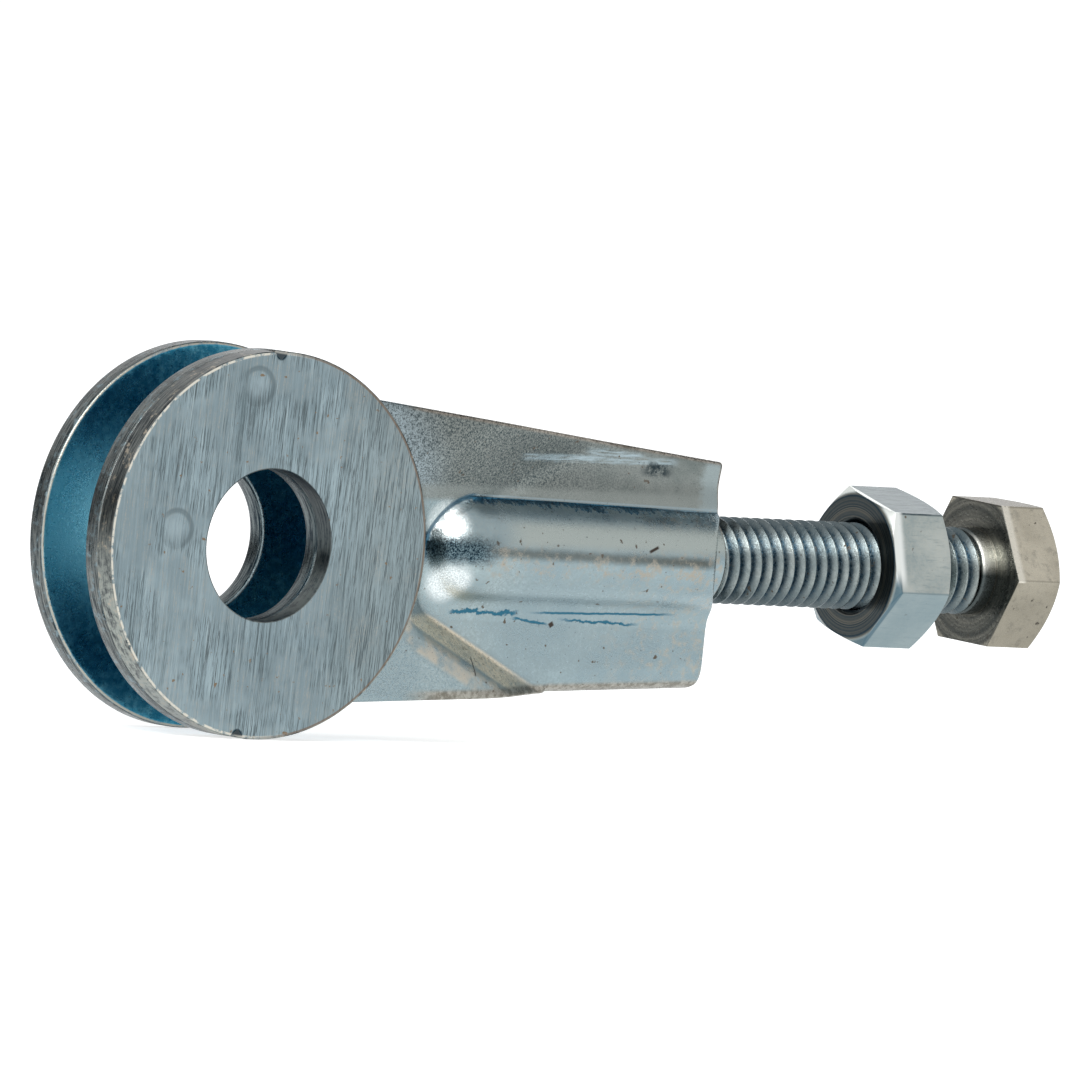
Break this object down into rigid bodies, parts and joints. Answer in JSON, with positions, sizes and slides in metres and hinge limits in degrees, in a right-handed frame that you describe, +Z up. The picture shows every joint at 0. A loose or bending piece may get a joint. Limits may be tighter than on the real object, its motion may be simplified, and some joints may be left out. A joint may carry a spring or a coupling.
{
  "type": "motorcycle chain adjuster",
  "caption": "Zinc plated sheet steel chain adjuster with round axle ears, an index washer, and a hex screw with lock nut running in a domed bead.",
  "frame": {"origin": "centre of the axle bore, midway between the two ears", "axes": "+X along the screw, away from the axle; +Y along the axle bore, away from the index washer; +Z up"},
  "size_m": [0.1079, 0.015, 0.035],
  "materials": {
    "plated_sheet": "blue zinc plate, smooth with a fine grain where the sheet was stretched",
    "ground_washer": "zinc plate over a coarse upright grind",
    "screw_steel": "bright zinc thread and a warm grey head",
    "nut_zinc": "bright blue zinc plate"
  },
  "bodies": {
    "bracket": {"folded_bracket": "plated_sheet", "index_washer": "ground_washer"},
    "nut": {"lock_nut": "nut_zinc"},
    "screw": {"adjuster_screw": "screw_steel"}
  },
  "joints": [
    {"name": "nut_travel", "type": "slide", "parent": "bracket", "child": "nut", "axis": [1, 0, 0], "range_m": [-0.0117, 0.002]},
    {"name": "screw_travel", "type": "slide", "parent": "nut", "child": "screw", "axis": [1, 0, 0], "range_m": [-0.0071, 0.002]}
  ]
}
